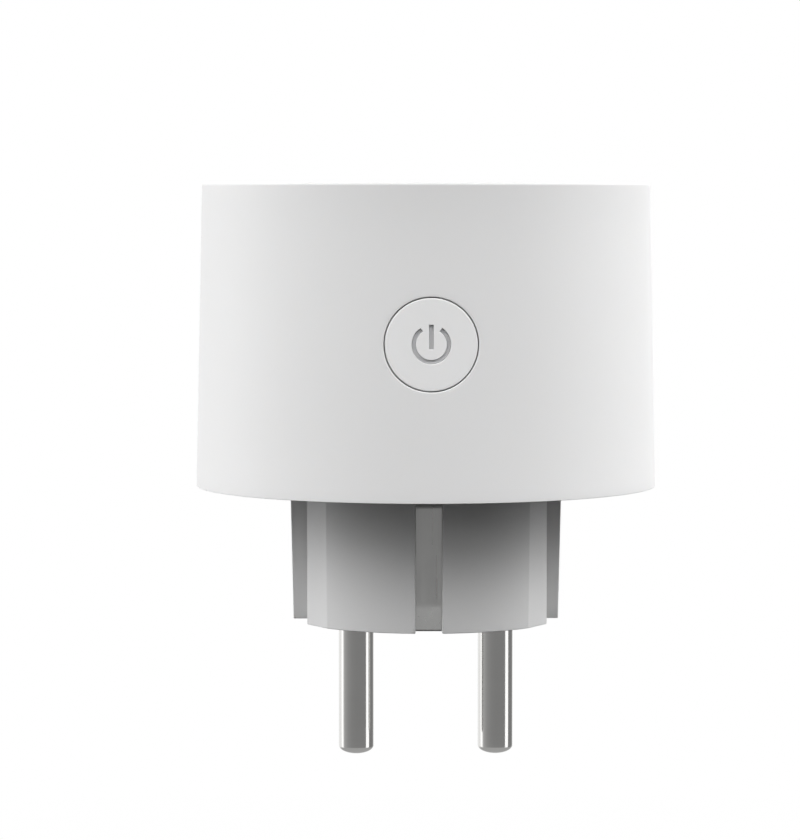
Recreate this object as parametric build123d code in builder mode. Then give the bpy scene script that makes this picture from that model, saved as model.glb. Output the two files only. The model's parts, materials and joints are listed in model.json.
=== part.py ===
"""Smart plug for Schuko and French wall sockets.

A tapered round body carries a socket well on top and a CEE 7/7 plug underneath. A push button sits
in the front wall, and the electronics stand around the socket contacts inside.
Millimetres, +Z up out of the wall, origin at the centre of the plug's engagement face.
The button faces -Y, and the two live pins lie along X.
"""

from build123d import *
import os
from math import cos, radians, sin

os.makedirs("parts", exist_ok=True)

# ---------------------------------------------------------------- driving dimensions
# Body
body_bottom_z = 18.3
body_height = 41.0
body_bottom_radius = 31.2
body_top_radius = 30.3
shell_wall = 2.0
shell_edge = 0.4
foot_edge = 0.3
ceiling_thickness = 2.2
pilot_radius = 1.3
body_top_z = body_bottom_z + body_height
ceiling_z = body_top_z - ceiling_thickness

# Plug
pin_spacing = 19.0
pin_radius = 2.4
pin_length = 18.6
pin_dome = 1.1
shank_radius = 2.15
shank_top_z = 17.5
collar_radius = 3.4
collar_thickness = 1.5
stud_radius = 1.0
hole_groove_depth = 0.3
plug_top_radius = 18.46
plug_face_radius = 18.06
plug_floor = 3.2
plug_flat_x = 16.1
facet_x = 13.4
facet_y = 12.1
facet_end_y = 7.4
fin_thickness = 1.4
earth_offset = 10.0
earth_hole_radius = 2.65
cavity_radius = 15.2
cavity_width = 28.4
clamp_places = [(-6.5, -9.5), (6.5, -9.5)]
clamp_post_radius = 2.2
clamp_pilot_radius = 0.95
clamp_bottom_z = plug_floor + collar_thickness + 0.05
clamp_top_z = 6.3

# Earth straps
strap_width = 3.3
strap_thickness = 0.8
contact_y = 17.2
strap_riser_y = 14.6
strap_tip = (16.0, 0.5)
strap_bevel_z = 3.6
strap_bend_z = 16.3
strap_shelf_z = 39.25
strap_top_z = 40.4
clip_y = 21.8
clip_foot_z = 40.55
clip_apex = (17.2, 50.8)
clip_tip = (20.4, 55.6)
clip_thickness = 0.6
contact_slot_width = 3.5
slot_knee_z = 4.2
slot_foot_y = 15.2
slot_top_z = body_bottom_z - 0.5
sleeve_radius = 3.05
sleeve_bore_radius = 2.45

# Socket well
well_radius = 19.6
well_wall = 1.4
well_depth = 17.5
floor_thickness = 1.8
mouth_radius = 21.15
flange_radius = 23.6
live_hole_radius = 2.75
guide_x = 16.5
guide_inner_y = 1.3
guide_outer_y = 8.6
guide_corner = 0.6
guide_top_gap = 2.0
well_edge = 0.8
flange_thickness = 1.6
lead_in = 0.5
clip_width = 4.0
pocket_width = 8.4
pocket_back = 23.3
pocket_wall = 0.9
pocket_side_wall = 1.1
guard_ring_radius = 13.15
post_radius = 1.5
peg_radius = 1.1
floor_top_z = body_top_z - well_depth
floor_bottom_z = floor_top_z - floor_thickness

# Cover, bosses and main board
cover_thickness = 2.0
cover_gap = 0.1
boss_circle = 24.9
boss_radius = 3.0
cover_boss_radius = 3.9
screw_hole_radius = 1.35
screw_recess_radius = 2.9
screw_recess_depth = 2.2
joint_z = 22.3
board_radius = 26.8
board_bottom_z = 20.8
board_top_z = 22.3
board_thickness = board_top_z - board_bottom_z
board_post_radius = 1.7
post_places = [(0, 20.0), (-10.5, -18.5), (10.5, -18.5)]

# Safety shutter and contact stack below the floor
shutter_bottom_z = 38.1
shutter_top_z = 39.8
retainer_top_z = 37.9
retainer_bottom_z = 36.4
carrier_top_z = 36.3
carrier_bottom_z = 34.95
stack_radius = 13.9
peg_y = 11.5
tower_bottom_z = 22.75

# Button stack along Y, measured from the axis towards the front
button_z = 38.64
button_radius = 5.92
button_hole_radius = 6.1
button_flange_radius = 7.2
button_boss_radius = 8.6
button_edge = 0.15
guide_disc_radius = 4.85
cap_cavity_radius = 4.9
button_back = 26.6
button_boss_back = 27.4
diffuser_back = 28.4
diffuser_front = 29.4
icon_front = 30.45
plunger_tip = 28.17
plunger_back = 26.3
plunger_radius = 1.7
switch_front = 27.2
control_board_front = 24.6
control_board_back = 23.6

# Power symbol
icon_radius = 2.52
icon_stroke = 0.55
icon_gap_angle = 33.0
icon_bar_width = 0.58
icon_bar_bottom = -0.6

half_pitch = pin_spacing / 2
boss_angles = dict(start_angle=45)


def body_radius(z):
    """Outer radius of the tapered body at height z."""
    share = (z - body_bottom_z) / body_height
    return body_bottom_radius + share * (body_top_radius - body_bottom_radius)


def front_plane(distance, z=button_z, x=0.0):
    """Plane facing the front, a distance before the axis, centred on height z."""
    return Plane(origin=(x, -distance, z), x_dir=(1, 0, 0), z_dir=(0, -1, 0))


def round_edges(piece):
    """Circular edges of a piece, grouped by height."""
    return piece.edges().filter_by(GeomType.CIRCLE).group_by(Axis.Z)


def save(piece, label):
    """Name a finished piece and write it as its own STEP file."""
    piece.part.label = label
    export_step(piece.part, f"parts/{label}.step")


def power_symbol(clearance=0.0):
    """Broken ring with a bar standing in the gap, drawn around the origin."""
    reach = 2 * icon_radius
    half_gap = radians(icon_gap_angle + clearance)
    bar_top = icon_radius - clearance
    bar_foot = icon_bar_bottom + clearance
    with BuildSketch() as symbol:
        Circle(icon_radius - clearance)
        Circle(icon_radius - icon_stroke + clearance, mode=Mode.SUBTRACT)
        with BuildLine():
            Polyline(
                (0, 0),
                (-reach * sin(half_gap), reach * cos(half_gap)),
                (reach * sin(half_gap), reach * cos(half_gap)),
                close=True,
            )
        make_face(mode=Mode.SUBTRACT)
        with Locations((0, (bar_top + bar_foot) / 2)):
            Rectangle(icon_bar_width - 2 * clearance, bar_top - bar_foot)
    return symbol.sketch


# ---------------------------------------------------------------- outer shell
# Tapered cup, open below, with a round mouth on top, a button hole and four screw bosses.
with BuildPart() as outer_shell:
    with BuildSketch(Plane.XZ):
        with BuildLine():
            Polyline(
                (body_bottom_radius, body_bottom_z),
                (body_top_radius, body_top_z),
                (mouth_radius, body_top_z),
                (mouth_radius, ceiling_z),
                (body_top_radius - shell_wall, ceiling_z),
                (body_bottom_radius - shell_wall, body_bottom_z),
                close=True,
            )
        make_face()
    revolve(axis=Axis.Z)
    fillet(round_edges(outer_shell)[-1], radius=shell_edge)
    fillet(round_edges(outer_shell)[0].sort_by(SortBy.RADIUS)[-1], radius=foot_edge)
    with BuildSketch(Plane.XY.offset(joint_z)):
        with PolarLocations(boss_circle, 4, **boss_angles):
            Circle(boss_radius)
    extrude(amount=ceiling_z - joint_z)
    with BuildSketch(Plane.XY.offset(joint_z + 2)):
        with PolarLocations(boss_circle + boss_radius, 4, **boss_angles):
            Rectangle(2.4, 1.4)
    extrude(amount=ceiling_z - joint_z - 2)
    with BuildSketch(front_plane(button_boss_back)):
        Circle(button_boss_radius)
    extrude(amount=1.4)
    with BuildSketch(front_plane(button_boss_back - 1)):
        Circle(button_hole_radius)
    extrude(amount=6, mode=Mode.SUBTRACT)
    with BuildSketch(Plane.XY.offset(joint_z)):
        with PolarLocations(boss_circle, 4, **boss_angles):
            Circle(pilot_radius)
    extrude(amount=10, mode=Mode.SUBTRACT)
save(outer_shell, "outer_shell")

# ---------------------------------------------------------------- socket insert
# Round well with two live holes, paired guide ribs at the sides and a clip pocket front and rear.
# The floor's underside carries the shutter's pivot post, a guard ring and two staking pegs.
well_outer = well_radius + well_wall
flange_top_z = ceiling_z
flange_bottom_z = flange_top_z - flange_thickness
with BuildPart() as socket_insert:
    with BuildSketch(Plane.XZ):
        with BuildLine():
            Polyline(
                (0, floor_bottom_z),
                (well_outer, floor_bottom_z),
                (well_outer, flange_bottom_z),
                (flange_radius, flange_bottom_z),
                (flange_radius, flange_top_z),
                (well_outer, flange_top_z),
                (well_outer, body_top_z),
                (well_radius, body_top_z),
                (well_radius, floor_top_z),
                (0, floor_top_z),
                close=True,
            )
        make_face()
    revolve(axis=Axis.Z)
    fillet(round_edges(socket_insert)[-1].sort_by(SortBy.RADIUS)[0], radius=well_edge)
    fillet(round_edges(socket_insert)[-1].sort_by(SortBy.RADIUS)[-1], radius=0.25)
    # clip pockets outside the wall
    with BuildSketch(Plane.XY.offset(floor_bottom_z)):
        for side in (-1, 1):
            with Locations((0, side * (well_radius + pocket_back) / 2)):
                Rectangle(pocket_width, pocket_back - well_radius)
    extrude(amount=flange_top_z - floor_bottom_z)
    with BuildSketch(Plane.XY.offset(floor_bottom_z)):
        for side in (-1, 1):
            with Locations((0, side * ((well_radius + pocket_back) / 2 - pocket_wall))):
                Rectangle(pocket_width - 2 * pocket_side_wall, pocket_back - well_radius)
    extrude(amount=flange_top_z - pocket_wall - floor_bottom_z, mode=Mode.SUBTRACT)
    # guide ribs, in pairs either side of the plug's fin
    with BuildSketch(Plane.XY.offset(floor_top_z)):
        Circle(well_radius + well_wall / 2)
        with BuildLine():
            Polyline(
                (guide_x + guide_corner, guide_outer_y), (guide_x, guide_outer_y - guide_corner),
                (guide_x, guide_inner_y + guide_corner), (guide_x + guide_corner, guide_inner_y),
                (well_outer, guide_inner_y), (well_outer, guide_outer_y), close=True,
            )
        make_face(mode=Mode.INTERSECT)
        mirror(about=Plane.XZ)
        mirror(about=Plane.YZ)
    extrude(amount=well_depth - guide_top_gap)
    # live holes with a lead-in
    with Locations((-half_pitch, 0, floor_top_z), (half_pitch, 0, floor_top_z)):
        CounterSinkHole(
            radius=live_hole_radius, counter_sink_radius=live_hole_radius + lead_in, depth=4,
            counter_sink_angle=90,
        )
    # shutter post, guard ring and staking pegs under the floor
    with BuildSketch(Plane.XY.offset(floor_bottom_z)):
        Circle(stack_radius)
        Circle(guard_ring_radius, mode=Mode.SUBTRACT)
    extrude(amount=-(floor_bottom_z - retainer_top_z - 0.05))
    with BuildSketch(Plane.XY.offset(floor_bottom_z)):
        Circle(post_radius)
    extrude(amount=-(floor_bottom_z - retainer_bottom_z))
    with BuildSketch(Plane.XY.offset(floor_bottom_z)):
        with Locations((0, -peg_y), (0, peg_y)):
            Circle(peg_radius)
    extrude(amount=-(floor_bottom_z - carrier_bottom_z))
    # notches that clear the shell's screw bosses
    with BuildSketch(Plane.XY.offset(flange_bottom_z)):
        with PolarLocations(boss_circle, 4, **boss_angles):
            Circle(boss_radius + 0.2)
    extrude(amount=flange_top_z - flange_bottom_z, mode=Mode.SUBTRACT)
save(socket_insert, "socket_insert")


def is_slot_rim(edge):
    """Long outer edge of an earth slot."""
    middle = edge.center()
    return (
        abs(abs(middle.X) - contact_slot_width / 2) < 0.05
        and abs(middle.Y) > 17.7
        and edge.length > body_bottom_z / 2
    )


# ---------------------------------------------------------------- plug base
# Bottom cover and plug body in one moulding: side flats with a central fin, slots front and rear
# for the earth straps, holes for the pins and for a French socket's earth pin.
slot_floor_y = contact_y - strap_thickness / 2 - 0.02
window_z = (15.7, 16.9)
with BuildPart() as plug_base:
    with BuildSketch(Plane.XZ):
        with BuildLine():
            Polyline(
                (0, 0), (plug_face_radius, 0), (plug_top_radius, body_bottom_z), (0, body_bottom_z),
                close=True,
            )
        make_face()
    revolve(axis=Axis.Z)
    # side flats and the facets that lead to them
    with BuildSketch(Plane.XY):
        with BuildLine():
            Polyline(
                (facet_x, facet_y), (plug_flat_x, facet_end_y), (plug_flat_x, fin_thickness / 2),
                (plug_top_radius + 1, fin_thickness / 2), (plug_top_radius + 1, facet_y),
                (facet_x + 1, facet_y + 2.0), close=True,
            )
        make_face()
        mirror(about=Plane.XZ)
        mirror(about=Plane.YZ)
    extrude(amount=body_bottom_z, mode=Mode.SUBTRACT)
    # earth slots, open at the plug face
    with BuildSketch(Plane.YZ.offset(-contact_slot_width / 2)):
        with BuildLine():
            Polyline(
                (slot_floor_y, slot_top_z), (slot_floor_y, slot_knee_z), (slot_foot_y, 0),
                (plug_top_radius + 1, 0), (plug_top_radius + 1, slot_top_z), close=True,
            )
        make_face()
        mirror(about=Plane.YZ)
    extrude(amount=contact_slot_width, mode=Mode.SUBTRACT)
    fillet(plug_base.edges().filter_by(is_slot_rim), radius=0.2)
    # cover disc and its bosses
    with BuildSketch(Plane.XY.offset(body_bottom_z)):
        Circle(body_bottom_radius - shell_wall - cover_gap)
    extrude(amount=cover_thickness)
    with BuildSketch(Plane.XY.offset(body_bottom_z + cover_thickness)):
        with PolarLocations(boss_circle, 4, **boss_angles):
            Circle(cover_boss_radius)
    extrude(amount=joint_z - body_bottom_z - cover_thickness)
    with BuildSketch(Plane.XY.offset(body_bottom_z + cover_thickness)):
        with Locations(*post_places):
            Circle(board_post_radius)
    extrude(amount=board_bottom_z - body_bottom_z - cover_thickness)
    # hollow of the plug
    with BuildSketch(Plane.XY.offset(plug_floor)):
        Circle(cavity_radius)
        Rectangle(cavity_width, 2 * cavity_radius, mode=Mode.INTERSECT)
    extrude(amount=body_bottom_z + cover_thickness - plug_floor, mode=Mode.SUBTRACT)
    # posts for the pin retainer
    with BuildSketch(Plane.XY.offset(plug_floor)):
        with Locations(*clamp_places):
            Circle(clamp_post_radius)
    extrude(amount=collar_thickness)
    with BuildSketch(Plane.XY.offset(1.2)):
        with Locations(*clamp_places):
            Circle(clamp_pilot_radius)
    extrude(amount=plug_floor + 1, mode=Mode.SUBTRACT)
    # pin holes, earth pin hole and strap windows
    with BuildSketch(Plane.XY):
        with Locations((-half_pitch, 0), (half_pitch, 0)):
            Circle(shank_radius + 0.02)
        with Locations((0, earth_offset)):
            Circle(earth_hole_radius)
    extrude(amount=plug_floor, mode=Mode.SUBTRACT)
    with BuildSketch(Plane.XY):
        with Locations((-half_pitch, 0), (half_pitch, 0)):
            Circle(pin_radius + 0.15)
    extrude(amount=hole_groove_depth, mode=Mode.SUBTRACT)
    with BuildSketch(Plane.XY.offset(window_z[0])):
        for side in (-1, 1):
            with Locations((0, side * 16)):
                Rectangle(strap_width + 0.1, 3.0)
    extrude(amount=window_z[1] - window_z[0], mode=Mode.SUBTRACT)
    # housing screw holes, board screw holes
    with Locations(Plane.XY.offset(body_bottom_z)):
        with PolarLocations(boss_circle, 4, **boss_angles):
            Hole(radius=screw_hole_radius, depth=20)
    with BuildSketch(Plane.XY.offset(body_bottom_z)):
        with PolarLocations(boss_circle, 4, **boss_angles):
            Circle(screw_recess_radius)
    extrude(amount=screw_recess_depth, mode=Mode.SUBTRACT)
    with BuildSketch(Plane.XY.offset(body_bottom_z + 0.6)):
        with Locations(*post_places):
            Circle(1.05)
    extrude(amount=board_bottom_z - body_bottom_z, mode=Mode.SUBTRACT)
save(plug_base, "plug_base")


# ---------------------------------------------------------------- fasteners
cross_depth = 0.8


def add_screw(place, head_radius, head_height, thread_radius, thread_length, upwards):
    """One pan-head screw whose head rests on the given place."""
    way = 1 if upwards else -1
    with Locations(place):
        with Locations((0, 0, -way * head_height / 2)):
            Cylinder(head_radius, head_height)
        with Locations((0, 0, way * thread_length / 2)):
            Cylinder(thread_radius, thread_length)
        with Locations((0, 0, -way * (head_height - cross_depth / 2))):
            Box(1.5 * head_radius, 0.24 * head_radius, cross_depth, mode=Mode.SUBTRACT)
            Box(0.24 * head_radius, 1.5 * head_radius, cross_depth, mode=Mode.SUBTRACT)


screw_seat_z = body_bottom_z + screw_recess_depth
boss_x = boss_circle * cos(radians(45))
boss_places = [(x, y, screw_seat_z) for x in (-boss_x, boss_x) for y in (-boss_x, boss_x)]
with BuildPart() as housing_screws:
    for place in boss_places:
        add_screw(place, 2.6, 1.6, 1.28, 11.0, upwards=True)
save(housing_screws, "housing_screws")

with BuildPart() as board_screws:
    for x, y in post_places:
        add_screw((x, y, board_top_z), 2.0, 1.3, 1.0, 3.2, upwards=False)
save(board_screws, "board_screws")

with BuildPart() as retainer_screws:
    for x, y in clamp_places:
        add_screw((x, y, clamp_top_z), 1.8, 1.1, 0.9, 4.6, upwards=False)
save(retainer_screws, "retainer_screws")


# ---------------------------------------------------------------- live pins
def build_pin(x):
    """Solid plug pin: domed contact length, slimmer shank with a collar, and a solder stud."""
    dome_z = pin_dome - pin_length
    with BuildPart() as pin:
        with BuildSketch(front_plane(0, 0, x)):
            with BuildLine():
                EllipticalCenterArc(
                    (0, dome_z), pin_radius, pin_dome, start_angle=270, arc_size=90,
                )
                Polyline(
                    (pin_radius, dome_z), (pin_radius, 0), (shank_radius, 0),
                    (shank_radius, plug_floor), (collar_radius, plug_floor),
                    (collar_radius, plug_floor + collar_thickness),
                    (shank_radius, plug_floor + collar_thickness), (shank_radius, shank_top_z),
                    (stud_radius, shank_top_z), (stud_radius, board_top_z),
                    (0, board_top_z), (0, -pin_length),
                )
            make_face()
        revolve(axis=Axis((x, 0, 0), (0, 0, 1)))
    return pin


live_pin = build_pin(-half_pitch)
save(live_pin, "live_pin")
neutral_pin = build_pin(half_pitch)
save(neutral_pin, "neutral_pin")

# Plate that clamps the pins' collars onto the plug floor
with BuildPart() as pin_retainer:
    with BuildSketch(Plane.XY.offset(clamp_bottom_z)):
        Circle(cavity_radius - 0.3)
        Rectangle(cavity_width - 0.4, 2 * cavity_radius, mode=Mode.INTERSECT)
        with Locations((-half_pitch, 0), (half_pitch, 0)):
            Circle(shank_radius + 0.1, mode=Mode.SUBTRACT)
        with Locations((0, earth_offset)):
            Circle(sleeve_radius + 0.15, mode=Mode.SUBTRACT)
        with Locations(*clamp_places):
            Circle(clamp_pilot_radius + 0.1, mode=Mode.SUBTRACT)
    extrude(amount=clamp_top_z - clamp_bottom_z)
save(pin_retainer, "pin_retainer")


# ---------------------------------------------------------------- earth path
def build_strap(side):
    """Bent brass strap: bevelled contact in the plug's slot, riser, and shelf out to the clip."""
    with BuildPart() as strap:
        with BuildSketch(Plane.YZ):
            with BuildLine() as route:
                FilletPolyline(
                    (side * strap_tip[0], strap_tip[1]), (side * contact_y, strap_bevel_z),
                    (side * contact_y, strap_bend_z), (side * strap_riser_y, strap_bend_z),
                    (side * strap_riser_y, strap_shelf_z), (side * clip_y, strap_shelf_z),
                    (side * clip_y, strap_top_z),
                    radius=[2.0, 0.45, 0.45, 0.6, 0.6],
                )
            trace(lines=route.line, line_width=strap_thickness)
        extrude(amount=strap_width / 2, both=True)
    return strap


earth_strap_front = build_strap(-1)
save(earth_strap_front, "earth_strap_front")
earth_strap_rear = build_strap(1)
save(earth_strap_rear, "earth_strap_rear")

# Strip under both straps that ties them to the earth pin sleeve
with BuildPart() as earth_bridge:
    with BuildSketch(Plane.XY.offset(15.1)):
        Rectangle(5.0, 2 * (cavity_radius - 0.4))
        with Locations((0, earth_offset)):
            Circle(4.4)
            Circle(sleeve_radius + 0.01, mode=Mode.SUBTRACT)
    extrude(amount=strap_thickness - 0.02)
save(earth_bridge, "earth_bridge")

with BuildPart() as earth_pin_sleeve:
    with BuildSketch(Plane.XY.offset(plug_floor + 0.1)):
        with Locations((0, earth_offset)):
            Circle(sleeve_radius)
            Circle(sleeve_bore_radius, mode=Mode.SUBTRACT)
    extrude(amount=12.4)
    with BuildSketch(Plane.XY.offset(7.0)):
        with Locations((0, earth_offset)):
            Rectangle(7, 0.7)
            Rectangle(0.7, 7)
    extrude(amount=6.0, mode=Mode.SUBTRACT)
save(earth_pin_sleeve, "earth_pin_sleeve")


def build_clip(side):
    """Sprung earth leaf that leans into the well and bears on an inserted plug's side contact."""
    with BuildPart() as clip:
        with BuildSketch(Plane.YZ):
            with BuildLine() as leaf:
                FilletPolyline(
                    (side * clip_y, clip_foot_z), (side * clip_y, clip_foot_z + 4.05),
                    (side * clip_apex[0], clip_apex[1]), (side * clip_tip[0], clip_tip[1]),
                    radius=[3.0, 1.6],
                )
            trace(lines=leaf.line, line_width=clip_thickness)
        extrude(amount=clip_width / 2, both=True)
    return clip


earth_clip_front = build_clip(-1)
save(earth_clip_front, "earth_clip_front")
earth_clip_rear = build_clip(1)
save(earth_clip_rear, "earth_clip_rear")

# ---------------------------------------------------------------- safety shutter
# Two-lobed rotor under the floor: it covers both live holes and turns aside when two pins press
# on its ramps together.
lobe_radius = 3.4
hub_radius = 3.7
spring_pocket_radius = 2.95
ramp_start_x = 5.6
ramp_foot_z = shutter_bottom_z + 0.6
with BuildPart() as safety_shutter:
    with BuildSketch(Plane.XY.offset(shutter_bottom_z)):
        Circle(hub_radius)
        Rectangle(pin_spacing, 4.8)
        with Locations((-half_pitch, 0), (half_pitch, 0)):
            Circle(lobe_radius)
        Circle(post_radius + 0.06, mode=Mode.SUBTRACT)
    extrude(amount=shutter_top_z - shutter_bottom_z)
    with BuildSketch(Plane.XY.offset(shutter_bottom_z + 0.6)):
        Circle(spring_pocket_radius)
    extrude(amount=2, mode=Mode.SUBTRACT)
    for side in (-1, 1):
        with BuildSketch(Plane(origin=(side * ramp_start_x, 0, 0), x_dir=(0, side, 0), z_dir=(side, 0, 0))):
            with BuildLine():
                Polyline(
                    (-lobe_radius - 0.1, ramp_foot_z), (2.4, shutter_top_z + 0.01),
                    (-lobe_radius - 0.1, shutter_top_z + 0.01), close=True,
                )
            make_face()
        extrude(amount=8, mode=Mode.SUBTRACT)
save(safety_shutter, "safety_shutter")

# Torsion spring round the shutter's post
coil_radius = 2.25
coil_foot_z = shutter_bottom_z + 0.82
with BuildPart() as shutter_spring:
    with BuildLine():
        Helix(pitch=0.4, height=0.72, radius=coil_radius, center=(0, 0, coil_foot_z))
    with BuildSketch(Plane(origin=(coil_radius, 0, coil_foot_z), x_dir=(1, 0, 0), z_dir=(0, 1, 0))):
        Circle(0.16)
    sweep(is_frenet=True)
save(shutter_spring, "shutter_spring")

with BuildPart() as shutter_retainer:
    with BuildSketch(Plane.XY.offset(retainer_bottom_z)):
        Circle(stack_radius)
        Circle(post_radius + 0.02, mode=Mode.SUBTRACT)
        with Locations((-half_pitch, 0), (half_pitch, 0)):
            Circle(live_hole_radius + 0.1, mode=Mode.SUBTRACT)
        with Locations((0, -peg_y), (0, peg_y)):
            Circle(peg_radius + 0.02, mode=Mode.SUBTRACT)
    extrude(amount=retainer_top_z - retainer_bottom_z)
save(shutter_retainer, "shutter_retainer")

# ---------------------------------------------------------------- socket contacts
carrier_hole_radius = 3.2
tower_length = 8.8
tower_width = 9.2
tower_wall = 0.8
grip_radius = 2.46
grip_outer_radius = 3.1
tab_offset = 2.85
tab_width = 2.6
with BuildPart() as contact_carrier:
    with BuildSketch(Plane.XY.offset(carrier_bottom_z)):
        Circle(stack_radius)
        with Locations((-half_pitch, 0), (half_pitch, 0)):
            Circle(carrier_hole_radius, mode=Mode.SUBTRACT)
        with Locations((0, -peg_y), (0, peg_y)):
            Circle(peg_radius + 0.02, mode=Mode.SUBTRACT)
    extrude(amount=carrier_top_z - carrier_bottom_z)
    with BuildSketch(Plane.XY.offset(tower_bottom_z)):
        with Locations((-half_pitch, 0), (half_pitch, 0)):
            RectangleRounded(tower_length, tower_width, 1.0)
            Rectangle(tower_length - 2 * tower_wall, tower_width - 2 * tower_wall, mode=Mode.SUBTRACT)
    extrude(amount=carrier_bottom_z - tower_bottom_z)
save(contact_carrier, "contact_carrier")


def build_receptacle(x):
    """Slotted sprung sleeve that grips a live pin, with a tab standing on the main board."""
    way = 1 if x > 0 else -1
    with BuildPart() as receptacle:
        with BuildSketch(Plane.XY.offset(24.0)):
            with Locations((x, 0)):
                Circle(grip_outer_radius)
                Circle(grip_radius, mode=Mode.SUBTRACT)
        extrude(amount=11.6)
        with BuildSketch(Plane.XY.offset(27.0)):
            with Locations((x, 0)):
                Rectangle(7, 0.8)
                Rectangle(0.8, 7)
        extrude(amount=9.0, mode=Mode.SUBTRACT)
        with BuildSketch(Plane.XY.offset(board_top_z)):
            with Locations((x + way * tab_offset, 0)):
                Rectangle(0.6, tab_width)
        extrude(amount=3.5)
    return receptacle


live_receptacle = build_receptacle(-half_pitch)
save(live_receptacle, "live_receptacle")
neutral_receptacle = build_receptacle(half_pitch)
save(neutral_receptacle, "neutral_receptacle")

with BuildPart() as insulation_sheet:
    with BuildSketch(Plane.XY.offset(board_top_z + 0.03)):
        RectangleRounded(27.0, 9.6, 1.5)
        for way in (-1, 1):
            with Locations((way * (half_pitch + tab_offset), 0)):
                Rectangle(0.8, tab_width + 0.2, mode=Mode.SUBTRACT)
    extrude(amount=0.4)
save(insulation_sheet, "insulation_sheet")

# ---------------------------------------------------------------- main board
with BuildPart() as main_board:
    with BuildSketch(Plane.XY.offset(board_bottom_z)):
        Circle(board_radius)
        with PolarLocations(boss_circle, 4, **boss_angles):
            Circle(cover_boss_radius + 0.4, mode=Mode.SUBTRACT)
        with Locations((0, -strap_riser_y), (0, strap_riser_y)):
            Rectangle(strap_width + 1.0, strap_thickness + 1.0, mode=Mode.SUBTRACT)
        with Locations((-half_pitch, 0), (half_pitch, 0)):
            Circle(stud_radius + 0.05, mode=Mode.SUBTRACT)
        with Locations(*post_places):
            Circle(1.1, mode=Mode.SUBTRACT)
    extrude(amount=board_thickness)
save(main_board, "main_board")

# ---------------------------------------------------------------- relay
relay_x = 19.5
relay_width = 10.0
relay_length = 18.4
relay_bottom_z = board_top_z + 0.05
relay_base_thickness = 0.75
relay_case_height = 14.4
coil_y = -3.6
coil_bottom_z = 24.25
coil_flange = 0.8
coil_length = 8.0
with BuildPart() as relay_base:
    with BuildSketch(Plane.XY.offset(relay_bottom_z)):
        with Locations((relay_x, 0)):
            Rectangle(relay_width, relay_length)
    extrude(amount=relay_base_thickness)
save(relay_base, "relay_base")

with BuildPart() as relay_case:
    with BuildSketch(Plane.XY.offset(relay_bottom_z + relay_base_thickness + 0.05)):
        with Locations((relay_x, 0)):
            Rectangle(relay_width, relay_length)
    extrude(amount=relay_case_height)
    fillet(relay_case.edges().filter_by(Axis.Z) + relay_case.faces().sort_by(Axis.Z)[-1].edges(), radius=0.6)
    offset(amount=-0.7, openings=relay_case.faces().sort_by(Axis.Z)[0])
save(relay_case, "relay_case")

with BuildPart() as relay_coil:
    coil_top_z = coil_bottom_z + coil_flange + coil_length
    for flange_z in (coil_bottom_z, coil_top_z):
        with BuildSketch(Plane.XY.offset(flange_z)):
            with Locations((relay_x, coil_y)):
                Rectangle(7.6, 7.6)
        extrude(amount=coil_flange)
    with BuildSketch(Plane.XY.offset(coil_bottom_z + coil_flange)):
        with Locations((relay_x, coil_y)):
            Circle(3.5)
    extrude(amount=coil_length)
    with BuildSketch(Plane.XY.offset(coil_top_z + coil_flange)):
        with Locations((relay_x, coil_y)):
            Circle(2.2)
    extrude(amount=0.5)
save(relay_coil, "relay_coil")

with BuildPart() as relay_yoke:
    with BuildSketch(Plane.YZ.offset(relay_x - 3.4)):
        with BuildLine():
            Polyline(
                (-6.6, 23.2), (2.8, 23.2), (2.8, 34.85), (1.6, 34.85), (1.6, 24.2), (-6.6, 24.2),
                close=True,
            )
        make_face()
    extrude(amount=6.8)
save(relay_yoke, "relay_yoke")

with BuildPart() as relay_armature:
    with BuildSketch(Plane.YZ.offset(relay_x - 3.2)):
        with BuildLine():
            Polyline(
                (-7.0, 35.05), (3.2, 35.05), (3.2, 27.0), (3.8, 27.0), (3.8, 36.0), (-7.0, 36.0), close=True,
            )
        make_face()
    extrude(amount=6.4)
    with BuildSketch(front_plane(-4.6, 28.6, relay_x)):
        Circle(1.3)
    extrude(amount=0.85)
save(relay_armature, "relay_armature")

with BuildPart() as relay_contacts:
    with BuildSketch(Plane.YZ.offset(relay_x - 3.0)):
        with BuildLine():
            Polyline((6.0, 23.15), (6.6, 23.15), (6.6, 31.0), (6.0, 31.0), close=True)
        make_face()
    extrude(amount=6.0)
    with BuildSketch(front_plane(-6.05, 28.6, relay_x)):
        Circle(1.3)
    extrude(amount=0.9)
save(relay_contacts, "relay_contacts")


# ---------------------------------------------------------------- power supply parts
def add_leads(places, foot_z, top_z, radius=0.3):
    """Straight round leads standing on the main board."""
    for x, y in places:
        with Locations((x, y, (foot_z + top_z) / 2)):
            Cylinder(radius, top_z - foot_z)


def build_capacitor(x, y, radius, height):
    """Upright electrolytic can with a crimped groove near its foot."""
    foot = board_top_z + 0.4
    with BuildPart() as capacitor:
        with BuildSketch(front_plane(-y, 0, x)):
            with BuildLine():
                Polyline(
                    (0, foot), (radius, foot), (radius, foot + 1.2), (radius - 0.3, foot + 1.6),
                    (radius, foot + 2.0), (radius, foot + height - 0.5), (radius - 0.5, foot + height),
                    (0, foot + height), close=True,
                )
            make_face()
        revolve(axis=Axis((x, y, 0), (0, 0, 1)))
        for lead_x in (x - radius / 2, x + radius / 2):
            with Locations((lead_x, y, board_top_z + 0.3)):
                Cylinder(0.3, 0.6)
    return capacitor


bulk_capacitor = build_capacitor(-19.6, 5.6, 5.0, 13.0)
save(bulk_capacitor, "bulk_capacitor")
output_capacitor = build_capacitor(-19.0, -5.0, 4.0, 11.0)
save(output_capacitor, "output_capacitor")

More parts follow.
